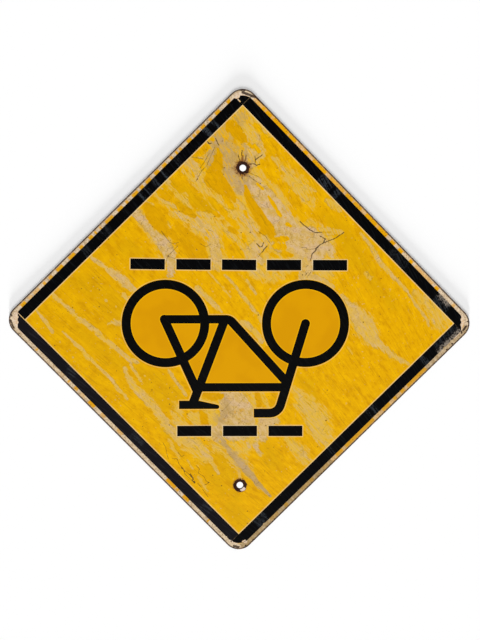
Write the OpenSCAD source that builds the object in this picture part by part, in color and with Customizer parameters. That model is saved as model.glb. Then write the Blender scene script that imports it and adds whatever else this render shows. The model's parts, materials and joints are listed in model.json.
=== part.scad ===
/* [Sheet blank] */
// Side of the square sheet, which stands on one corner
sheet_side = 609.6; // [570:0.1:800]
// Thickness of the steel sheet
sheet_t = 1.6; // [1:0.1:4]
// Radius of the sheet's four corners
sheet_corner_r = 28.6; // [15:0.1:45]

/* [Bolt holes] */
// Diameter of the two bolt holes
hole_d = 12; // [8:0.1:16]
// Distance between the two holes, on the upright diagonal
hole_spacing = 578; // [540:1:600]
// Height of the middle between the two holes, from the sheet's middle
hole_mid_y = -11; // [-15:0.5:5]
// How far both holes lie to the right of the upright diagonal
hole_x = 1.4; // [-4:0.1:4]

/* [Yellow sheeting] */
// Thickness of the yellow reflective sheeting
sheeting_t = 0.3; // [0.1:0.05:0.6]
// Bare metal rim between the sheeting and the sheet's edge
sheeting_rim = 1.2; // [0.5:0.1:3]
// Width of the ring rusted bare round the upper hole
upper_loss_w = 5; // [3:0.1:8]
// Width of the ring rusted bare round the lower hole
lower_loss_w = 6; // [3:0.1:8]

/* [Black tape] */
// Thickness of the black tape of the border and the dashes
tape_t = 0.2; // [0.1:0.05:0.5]
// Width of the black tape
tape_w = 19.05; // [12:0.05:24]
// Yellow margin between the border and the sheet's edge
border_margin = 9.2; // [5:0.1:20]
// Radius to which the border's corners were trimmed
border_trim_r = 25.4; // [18:0.1:30]
// Gap at the butt joint at the left corner
left_seam = 1.2; // [0.1:0.1:3]
// Gap at the other three butt joints
other_seams = 0.4; // [0.1:0.1:3]

/* [Dashes] */
// Length of one dash
dash_l = 62.2; // [40:0.1:70]
// Distance from dash to dash in the upper row of five
upper_pitch = 82.6; // [75:0.1:90]
// Height of the upper row above the sheet's middle
upper_row_y = 103.6; // [98:0.1:115]
// How far the upper row is off centre, to the left
upper_row_left = 3.8; // [0:0.1:8]
// Distance from dash to dash in the lower row of three
lower_pitch = 83.4; // [75:0.1:90]
// Distance from the handlebar down to the lower row, between their middle lines
lower_row_gap = 32.7; // [30.7:0.1:42.7]
// How far the lower row is off centre, to the right
lower_row_right = 0.5; // [0:0.1:8]

/* [Bicycle] */
// Thickness of the symbol's yellow film
film_t = 0.15; // [0.1:0.05:0.4]
// Thickness of the black print on the film
print_t = 0.1; // [0.05:0.05:0.3]
// Film that shows outside the print's outline
film_lip = 0.8; // [0.2:0.1:1.5]
// Outer radius of a wheel
wheel_r = 79.5; // [70:0.1:84]
// Width of a wheel's ring
wheel_w = 16.6; // [10:0.1:20]
// Distance between the wheels' centres
wheelbase = 254.8; // [245:0.1:262]
// Depth of the wheels' centres below the sheet's middle
wheel_drop = 3.3; // [0:0.1:8]
// How far the middle between the wheels is off centre, to the left
bicycle_left = 9.1; // [4:0.1:14]
// Width of the frame's strokes
tube_w = 16.2; // [10:0.1:18]
// Width of the two level strokes, at the crank and under the top tube
level_w = 15.4; // [10:0.1:18]
// How far behind the rear hub the frame's strokes start
hub_back = 2.2; // [0:0.1:5]
// Height of the stroke from the rear hub to the crank, above the hubs
chainstay_rise = 7.8; // [5:0.1:10]
// Length of that stroke
chainstay_l = 118.5; // [108:0.1:126]
// How far behind the crank the seat tube starts
seat_back = 8.4; // [0:0.1:14]
// Lean of the seat tube from upright, in degrees
seat_lean = 20.8; // [16:0.1:24]
// Lean of the stroke from the rear hub to the seat tube, in degrees
stay_lean = 24.4; // [22:0.1:27]
// Slope of the stroke from the crank to the fork, in degrees
down_tube_slope = 47.8; // [46:0.1:50]
// Radius of the rounded corner over the crank
crank_round_r = 24; // [18:0.5:32]
// Depth of the long level stroke below the hubs
top_tube_drop = 116.4; // [110:0.1:122]
// Lean of the fork from upright, in degrees
fork_lean = 16.9; // [12:0.1:20]
// Depth of the handlebar below the hubs
bar_drop = 164; // [160:0.1:170]
// Radius of the bend into the handlebar, on its middle line
bar_bend_r = 21; // [14:0.1:26]
// Place of the handlebar's square end, right of the sheet's middle
bar_end_x = 24.1; // [15:0.1:35]
// Depth of the saddle's flat side below the hubs
saddle_drop = 156; // [152:0.1:160]
// Length of the saddle, from its blunt end to its nose
saddle_l = 73.3; // [60:0.1:85]
// How far the saddle's blunt end lies behind the seat tube
saddle_back = 24.3; // [16:0.1:32]
// Height of the saddle at its blunt end
saddle_h = 15.1; // [12:0.1:18]
// Radius of the saddle's nose
saddle_nose_r = 3.8; // [2:0.1:5]
// Turn of the whole symbol on the sheet, in degrees
symbol_turn = 0.5; // [-2:0.1:2]

/* [Hidden] */
$fn = 96;
diagonal = sqrt(2);
steel_colour = "#6b5a4a";
yellow_colour = "#e0a800";
clean_yellow_colour = "#dd9f00";
black_colour = "#121212";

// Where each layer starts, above the sheet's back
sheeting_z = sheet_t;
tape_z = sheeting_z + sheeting_t;
film_z = tape_z;
print_z = film_z + film_t;

// Outer and inner edge of the border's tape, from the sheet's middle
border_out = sheet_side / 2 - border_margin;
border_in = border_out - tape_w;
border_corner = border_in * diagonal;

// Where the upper and the lower hole are
upper_hole = [hole_x, hole_mid_y + hole_spacing / 2];
lower_hole = [hole_x, hole_mid_y - hole_spacing / 2];

// Tears in the ragged rim of the sheeting round each hole: direction, depth, width in degrees
upper_tears = [[10, 2.5, 20], [75, 1.2, 18], [145, 0.8, 20], [215, -0.6, 20], [251, -1.6, 12],
    [266, 1.2, 9], [285, -1.4, 14], [318, 3.2, 14]];
lower_tears = [[8, 1.4, 16], [70, -2.6, 12], [98, -2.4, 12], [122, -0.8, 14], [150, -1.2, 14],
    [178, 0.6, 10], [236, 0.8, 16], [272, 1.4, 10], [320, 1.6, 24]];
tear_step = 5;

// Steps along a bend or a round end
arc_steps = 16;

// Specks where rust lifted the sheeting at a corner: along the corner, and radius
corner_specks = [[[-4, 1.6], [4.5, 1.5]], [[4, 1.8], [-3, 2]], [[9, 1.7], [0.5, 1.8], [-12, 1.6]],
    [[0, 2], [10.5, 1.7], [-9, 1.8]]];

// Chips in the border at each corner: place from the border's inner corner, and radius
corner_chips = [[[-11, 16.5, 6.2], [-17.5, 11.4, 1.4], [-4.5, 21.5, 4], [-13.5, 20, 5]],
    [[-7, 15.6, 4.2], [2.5, 16.4, 5]],
    [[14.5, 15, 4.2], [8, 18.2, 3.4], [23, 5.4, 2]],
    [[5.2, 14, 3.3], [-4.4, 14, 3.3]]];
// Straight snips across the border's corners, from its inner corner, at the top, right, bottom, left
corner_snips = [18.2, 12.8, 17.4, 12.2];
// Scratches through the tape near a corner: corner, place, length, width and direction
scratches = [[0, [-6.5, 7.2], 6.6, 2.2, -48], [2, [-9.5, 12.4], 7, 2.6, 206]];
// Nicks in the outer edge of the lower right strip: place along the strip, and radius
edge_nicks = [[-250, 2.6], [-233, 3.2], [230, 3]];
nick_sink = 1.5;

// How far each dash slipped when it was laid by hand: to the right, up, and its turn
upper_slips = [[-0.3, -0.5, -0.3], [0, -0.5, 0], [0, -0.4, -0.1], [-1, 0, 0.4], [0.3, 0.6, 0.4]];
lower_slips = [[0, -0.5, 0.6], [0.2, 0, 0.4], [0, 0.5, 0.3]];

// The symbol's hubs and joints, in its own upright frame
function below(p, lean, depth) = p - [depth * tan(lean), depth];
rear_hub = [-bicycle_left - wheelbase / 2, -wheel_drop];
front_hub = [-bicycle_left + wheelbase / 2, -wheel_drop];
stroke_start = rear_hub + [-hub_back, chainstay_rise];
crank = stroke_start + [chainstay_l, 0];
seat_top = crank - [seat_back, 0];
stay_depth = (chainstay_l - seat_back) / (tan(stay_lean) + tan(seat_lean));
stay_foot = below(stroke_start, -stay_lean, stay_depth);
top_tube_y = -wheel_drop - top_tube_drop;
top_tube_rear = below(seat_top, seat_lean, seat_top[1] - top_tube_y);
top_tube_front = below(front_hub, fork_lean, top_tube_drop);
head_run = front_hub[0] - crank[0] + chainstay_rise * tan(fork_lean);
head_depth = head_run / (tan(90 - down_tube_slope) + tan(fork_lean));
head = below(crank, down_tube_slope - 90, head_depth);
// The centre of the bend over the crank, whose outer edge is tangent to both strokes
level_r = crank_round_r - level_w / 2;
tube_r = crank_round_r - tube_w / 2;
crank_run = (tube_r - level_r * cos(down_tube_slope)) / sin(down_tube_slope);
crank_round = crank - [crank_run, level_r];

// The saddle's blunt end and nose
saddle_y = -wheel_drop - saddle_drop;
saddle_top_y = saddle_y + saddle_h;
post_foot = below(seat_top, seat_lean, seat_top[1] - saddle_y - saddle_h / 2);
saddle_x = post_foot[0] - saddle_back;
nose = [saddle_x + saddle_l - saddle_nose_r, saddle_y + saddle_nose_r];
slope_start = [post_foot[0] + saddle_h / 2 * tan(seat_lean) + tube_w / 2 / cos(seat_lean), saddle_top_y];
// Where the line from p touches the circle round c
function touch(p, c, r) = let (a = atan2(p[1] - c[1], p[0] - c[0]) - acos(r / norm(p - c)))
    c + r * [cos(a), sin(a)];

// The centre of the bend into the handlebar
bar_y = -wheel_drop - bar_drop;
bend_y = bar_y + bar_bend_r;
bend_on_fork = below(front_hub, fork_lean, front_hub[1] - bend_y);
bend = bend_on_fork - [bar_bend_r / cos(fork_lean), 0];

module rounded_square(side, r) {
    square([side - 2 * r, side], center = true);
    square([side, side - 2 * r], center = true);
    for (x = [-1, 1], y = [-1, 1])
        translate([x, y] * (side / 2 - r)) circle(r);
}

// A rounded square that stands on its corner
module diamond(side, r) {
    rotate(45) rounded_square(side, r);
}

// Places its children at a corner, with +Y pointing out: 0 top, 1 right, 2 bottom, 3 left
module at_corner(corner, reach) {
    rotate(-90 * corner) translate([0, reach]) children();
}

// Reach of the ragged rim in one direction: a round hole's edge and its tears
function torn(angle, r, tears) =
    r + [for (t = tears) t[1] * max(0, 1 - abs((angle - t[0] + 540) % 360 - 180) / t[2])]
        * [for (t = tears) 1];

module ragged_loss(r, tears) {
    polygon([for (a = [0 : tear_step : 360 - tear_step]) torn(a, r, tears) * [cos(a), sin(a)]]);
}

module sheet_blank() {
    color(steel_colour) difference() {
        linear_extrude(sheet_t) diamond(sheet_side, sheet_corner_r);
        for (hole = [upper_hole, lower_hole])
            translate([hole[0], hole[1], -1]) cylinder(h = sheet_t + 2, d = hole_d);
    }
}

module yellow_sheeting() {
    apex = sheet_side / diagonal - (diagonal - 1) * sheet_corner_r - sheeting_rim;
    color(yellow_colour) translate([0, 0, sheeting_z]) linear_extrude(sheeting_t) difference() {
        diamond(sheet_side - 2 * sheeting_rim, sheet_corner_r - sheeting_rim);
        translate(upper_hole) ragged_loss(hole_d / 2 + upper_loss_w, upper_tears);
        translate(lower_hole) ragged_loss(hole_d / 2 + lower_loss_w, lower_tears);
        for (corner = [0 : 3], speck = corner_specks[corner])
            at_corner(corner, apex - pow(speck[0], 2) / sheet_corner_r / 2)
                translate([speck[0], 0]) circle(speck[1]);
    }
}

module stroke(p, q, w) {
    run = q - p;
    translate(p) rotate(atan2(run[1], run[0])) translate([0, -w / 2]) square([norm(run), w]);
}

// Points along an arc round c, whose radius may change on the way
function arc(c, r, from, to, end_r) = let (growth = is_undef(end_r) ? 0 : end_r - r)
    [for (t = [0 : 1 / arc_steps : 1]) let (a = from + t * (to - from))
        c + (r + t * growth) * [cos(a), sin(a)]];

// From the rear hub to the seat tube, with a round start
module seat_stay(w) {
    lean = stay_lean - 90;
    side = w / 2 * [-sin(lean), cos(lean)];
    polygon(concat(arc(stroke_start, w / 2, lean + 90, lean + 270), [stay_foot - side, stay_foot + side]));
}

// From the rear hub over the crank and down to the fork, in one bent stroke
module chainstay_and_down_tube(w, level, lip) {
    side = w / 2 * [sin(down_tube_slope), cos(down_tube_slope)];
    inner_r = crank_round_r - lip;
    polygon(concat(arc(stroke_start, level / 2, 90, 270),
        arc(crank_round, inner_r - level_w, 90, 90 - down_tube_slope, inner_r - tube_w),
        [head - side, head + side],
        arc(crank_round, crank_round_r + lip, 90 - down_tube_slope, 90)));
}

// From the front hub down, and round into the handlebar
module fork_and_handlebar(w, end_x) {
    polygon(concat(arc(front_hub, w / 2, -fork_lean, 180 - fork_lean),
        arc(bend, bar_bend_r - w / 2, -fork_lean, -90),
        [[end_x, bar_y + w / 2], [end_x, bar_y - w / 2]],
        arc(bend, bar_bend_r + w / 2, -90, -fork_lean)));
}

// The saddle's wedge, with its round nose
module saddle(lip) {
    tip = touch(slope_start, nose, saddle_nose_r);
    tip_angle = atan2(tip[1] - nose[1], tip[0] - nose[0]);
    back_x = saddle_x - lip;
    polygon(concat(arc(nose, saddle_nose_r + lip, -90, tip_angle),
        [slope_start + [0, lip], [back_x, saddle_top_y + lip], [back_x, saddle_y - lip]]));
}

// All strokes but the wheels' rings, wider by a lip on each side
module frame_strokes(lip) {
    w = tube_w + 2 * lip;
    level = level_w + 2 * lip;
    chainstay_and_down_tube(w, level, lip);
    seat_stay(w);
    stroke(seat_top, post_foot, w);
    stroke(top_tube_rear, top_tube_front, level);
    fork_and_handlebar(w, bar_end_x - lip);
    saddle(lip);
}

// The bicycle's whole outline with its closed windows filled, as the film was cut
module symbol_outline() {
    for (hub = [rear_hub, front_hub]) translate(hub) circle(wheel_r + film_lip);
    frame_strokes(film_lip);
    polygon([stroke_start, stay_foot, top_tube_rear, top_tube_front, head, crank]);
    polygon([head, front_hub, (crank + head) / 2]);
}

module symbol_film() {
    color(clean_yellow_colour) translate([0, 0, film_z]) linear_extrude(film_t)
        rotate(symbol_turn) symbol_outline();
}

module bicycle_print() {
    color(black_colour) translate([0, 0, print_z]) linear_extrude(print_t) rotate(symbol_turn) {
        for (hub = [rear_hub, front_hub]) translate(hub) difference() {
            circle(wheel_r);
            circle(wheel_r - wheel_w);
        }
        frame_strokes(0);
    }
}

// What has broken off the border round its four corners
module border_damage() {
    for (corner = [0 : 3]) at_corner(corner, border_corner) {
        for (chip = corner_chips[corner]) translate([chip[0], chip[1]]) circle(chip[2]);
        translate([-tape_w, corner_snips[corner]]) square(2 * tape_w);
    }
    for (s = scratches) at_corner(s[0], border_corner)
        translate(s[1]) rotate(s[4]) square([s[2], s[3]], center = true);
}

// One strip of tape: its near end butts on the strip before it, its far end runs through the corner
module border_strip(turn, seam, nicks = []) {
    color(black_colour) translate([0, 0, tape_z]) linear_extrude(tape_t) difference() {
        intersection() {
            rotate(turn) translate([seam - border_in, border_in])
                square([2 * border_in + tape_w - seam, tape_w]);
            diamond(2 * border_out, border_trim_r);
        }
        border_damage();
        rotate(turn) for (nick = nicks)
            translate([nick[0], border_out + nick[1] - nick_sink]) circle(nick[1]);
    }
}

module border_upper_left() {
    border_strip(45, left_seam);
}

module border_upper_right() {
    border_strip(-45, other_seams);
}

module border_lower_right() {
    border_strip(-135, other_seams, edge_nicks);
}

module border_lower_left() {
    border_strip(135, other_seams);
}

// Dash number i of a row of so many, laid by hand with its own small slip
module dash(i, count, pitch, row, slip) {
    place = row + [(i - (count - 1) / 2) * pitch + slip[0], slip[1], tape_z];
    color(black_colour) translate(place) rotate(slip[2]) linear_extrude(tape_t)
        square([dash_l, tape_w], center = true);
}

module dash_upper(i) {
    dash(i, len(upper_slips), upper_pitch, [-upper_row_left, upper_row_y, 0], upper_slips[i]);
}

module dash_lower(i) {
    dash(i, len(lower_slips), lower_pitch, [lower_row_right, bar_y - lower_row_gap, 0], lower_slips[i]);
}

sheet_blank();
yellow_sheeting();
symbol_film();
bicycle_print();
border_upper_left();
border_upper_right();
border_lower_right();
border_lower_left();
dash_upper(0);  // dash_upper_1
dash_upper(1);  // dash_upper_2
dash_upper(2);  // dash_upper_3
dash_upper(3);  // dash_upper_4
dash_upper(4);  // dash_upper_5
dash_lower(0);  // dash_lower_1
dash_lower(1);  // dash_lower_2
dash_lower(2);  // dash_lower_3
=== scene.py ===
import json
import math
import bmesh
import bpy
import numpy as np
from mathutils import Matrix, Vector, kdtree
from mathutils.geometry import delaunay_2d_cdt


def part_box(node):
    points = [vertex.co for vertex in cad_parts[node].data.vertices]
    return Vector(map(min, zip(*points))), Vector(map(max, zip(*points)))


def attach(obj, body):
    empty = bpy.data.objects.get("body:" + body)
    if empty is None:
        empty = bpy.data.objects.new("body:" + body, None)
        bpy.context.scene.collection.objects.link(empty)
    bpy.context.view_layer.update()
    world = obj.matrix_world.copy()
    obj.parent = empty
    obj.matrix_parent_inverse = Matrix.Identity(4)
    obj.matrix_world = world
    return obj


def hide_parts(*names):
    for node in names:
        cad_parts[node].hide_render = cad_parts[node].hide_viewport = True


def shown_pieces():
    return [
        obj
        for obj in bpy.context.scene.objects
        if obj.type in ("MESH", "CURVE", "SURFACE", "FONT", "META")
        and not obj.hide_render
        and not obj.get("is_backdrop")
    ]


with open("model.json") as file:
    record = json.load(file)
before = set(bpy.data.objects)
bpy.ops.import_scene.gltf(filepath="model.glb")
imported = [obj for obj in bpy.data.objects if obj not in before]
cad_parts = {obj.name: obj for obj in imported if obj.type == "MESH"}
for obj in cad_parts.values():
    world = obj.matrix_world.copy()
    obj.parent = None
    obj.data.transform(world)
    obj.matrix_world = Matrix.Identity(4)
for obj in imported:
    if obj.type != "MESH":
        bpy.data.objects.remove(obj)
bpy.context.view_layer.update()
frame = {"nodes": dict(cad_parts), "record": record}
nodes = frame["nodes"]
print("frame loaded:", len(nodes), "pieces")

mm = 0.001


class Wire:
    # One socket of a material. Sums on it add Math nodes.
    def __init__(self, mix, socket):
        self.mix = mix
        self.socket = socket

    def maths(self, operation, *values):
        return self.mix.add("ShaderNodeMath", {"operation": operation}, dict(enumerate(values)))

    def __add__(self, other):
        return self.maths("ADD", self, other)

    def __radd__(self, other):
        return self.maths("ADD", other, self)

    def __sub__(self, other):
        return self.maths("SUBTRACT", self, other)

    def __rsub__(self, other):
        return self.maths("SUBTRACT", other, self)

    def __mul__(self, other):
        return self.maths("MULTIPLY", self, other)

    def __rmul__(self, other):
        return self.maths("MULTIPLY", other, self)

    def __truediv__(self, other):
        return self.maths("DIVIDE", self, other)

    def __pow__(self, power):
        return self.maths("POWER", self, power)

    def __abs__(self):
        return self.maths("ABSOLUTE", self)

    def least(self, other):
        return self.maths("MINIMUM", self, other)

    def most(self, other):
        return self.maths("MAXIMUM", self, other)

    # 0 below low, 1 above high, and smooth between
    def rise(self, low, high):
        return self.mix.add("ShaderNodeMapRange", {"interpolation_type": "SMOOTHSTEP"},
                            {"Value": self, "From Min": low, "From Max": high})

    def fall(self, low, high):
        return 1 - self.rise(low, high)

    # Up and down again over twice a size
    def wave(self, size):
        return self.maths("SINE", self * (math.pi / size))


def colour(red, green, blue):
    # A colour as it looks in a picture, 0 to 255, made linear
    def linear(value):
        value = value / 255
        return value / 12.92 if value <= 0.04045 else ((value + 0.055) / 1.055) ** 2.4
    return (linear(red), linear(green), linear(blue), 1)


# The scrapes' slant in degrees, and how far off their lines meet, in millimetres
scrapes = {"slant": -49, "meet": 1400}


class Mix:
    # A material while it is being put together, with its palette of named tones
    def __init__(self, name, tones=None):
        self.material = bpy.data.materials.new(name)
        self.material.use_nodes = True
        self.tree = self.material.node_tree
        self.tree.nodes.clear()
        self.tones = {key: colour(*value) for key, value in (tones or {}).items()}
        # Places in millimetres, in the sign's own frame
        place = self.add("ShaderNodeTexCoord", output="Object")
        self.place = self.vector("SCALE", place, Scale=1 / mm)

    def add(self, kind, settings=None, inputs=None, output=0):
        node = self.tree.nodes.new(kind)
        for key, value in (settings or {}).items():
            setattr(node, key, value)
        for key, value in (inputs or {}).items():
            if isinstance(value, Wire):
                self.tree.links.new(value.socket, node.inputs[key])
            else:
                node.inputs[key].default_value = value
        return None if output is None else Wire(self, node.outputs[output])

    def vector(self, operation, *vectors, **inputs):
        return self.add("ShaderNodeVectorMath", {"operation": operation},
                        {**dict(enumerate(vectors)), **inputs})

    def mapped(self, place, **inputs):
        return self.add("ShaderNodeMapping", None, {"Vector": place, **inputs})

    def axes(self, names="XY", place=None):
        return [self.add("ShaderNodeSeparateXYZ", None, {0: place or self.place}, axis) for axis in names]

    # The place measured along and across the scrapes, which run together far off at the lower right
    def scraped(self):
        turned = self.mapped(self.place, Rotation=(0, 0, math.radians(-scrapes["slant"])))
        along, across = self.axes(place=turned)
        return self.add("ShaderNodeCombineXYZ", None, {0: along, 1: across / (1 - along / scrapes["meet"])})

    # Noise whose grains are so many millimetres along and across a place
    def noise(self, along, across=None, detail=3, roughness=0.5, shift=0, distortion=0, place=None):
        across = across or along
        scaled = self.mapped(place or self.place, Scale=(1 / along, 1 / across, 1 / across),
                             Location=(shift,) * 3)
        return self.add("ShaderNodeTexNoise", None,
                        {"Vector": scaled, "Scale": 1, "Detail": detail, "Roughness": roughness,
                         "Distortion": distortion})

    # Round dots scattered over cells of a size in millimetres: 1 in a dot, 0 outside
    def dots(self, cell, small, large, shift=0):
        scaled = self.mapped(self.place, Scale=(1 / cell,) * 3, Location=(shift,) * 3)
        distance, chance = [
            self.add("ShaderNodeTexVoronoi", {"voronoi_dimensions": "2D"},
                     {"Vector": scaled, "Scale": 1}, output)
            for output in ("Distance", "Color")]
        share = self.add("ShaderNodeSeparateColor", None, {0: chance}, "Red")
        radius = (share ** 6 * (large - small) + small) / cell
        return (distance - radius).fall(-0.3 / cell, 0.3 / cell)

    # Uneven specks of a size in millimetres, in clusters: 1 in a speck
    def specks(self, size, cluster, shift, low, high):
        spread = self.noise(cluster, detail=2, shift=shift + 1).rise(0.4, 0.6)
        return self.noise(size, detail=1, shift=shift).rise(low, high) * spread

    # The place pushed about by noise, so that what follows it bends
    def bent(self, amount, size):
        push = self.add("ShaderNodeTexNoise", None,
                        {"Vector": self.place, "Scale": 1 / size, "Detail": 2}, "Color")
        push = self.vector("SUBTRACT", push, (0.5, 0.5, 0.5))
        return self.vector("ADD", self.place, self.vector("SCALE", push, Scale=amount))

    # A tone with others over it in turn, each where its mask is 1. A name is a tone of the palette.
    def layers(self, tone, *layers):
        for over, mask in layers:
            tone, over = (self.tones.get(each, each) for each in (tone, over))
            tone = self.add("ShaderNodeMix", {"data_type": "RGBA"}, {0: mask, 6: tone, 7: over}, 2)
        return tone

    def attribute(self, name):
        return self.add("ShaderNodeAttribute", {"attribute_name": name}, None, "Fac")

    def finish(self, tone, roughness, bump, height, shine):
        normal = self.add("ShaderNodeBump", None, {"Strength": 1, "Distance": height * mm, "Height": bump})
        shader = self.add("ShaderNodeBsdfPrincipled", None,
                          {"Base Color": tone, "Roughness": roughness, "Normal": normal,
                           "Specular IOR Level": shine})
        self.add("ShaderNodeOutputMaterial", None, {"Surface": shader}, None)
        return self.material


def dress(piece, material):
    piece.data.materials.clear()
    piece.data.materials.append(material)


# Sizes of the sign that the finishes follow, in millimetres from its middle
mounts = {mount["name"]: mount["pos_m"] for mount in frame["record"]["mounts"]}
sign = {"edge": 304.8, "cornerRadius": 28.6, "borderIn": 276.55, "borderOut": 295.6,
        "upperHole": [value / mm for value in mounts["upper_hole"][:2]],
        "lowerHole": [value / mm for value in mounts["lower_hole"][:2]]}
sideTurns = {"upper_left": 45, "upper_right": -45, "lower_right": -135, "lower_left": 135}
blackNodes = [name for name in nodes if name.startswith(("border", "dash", "bicycle"))]

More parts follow.
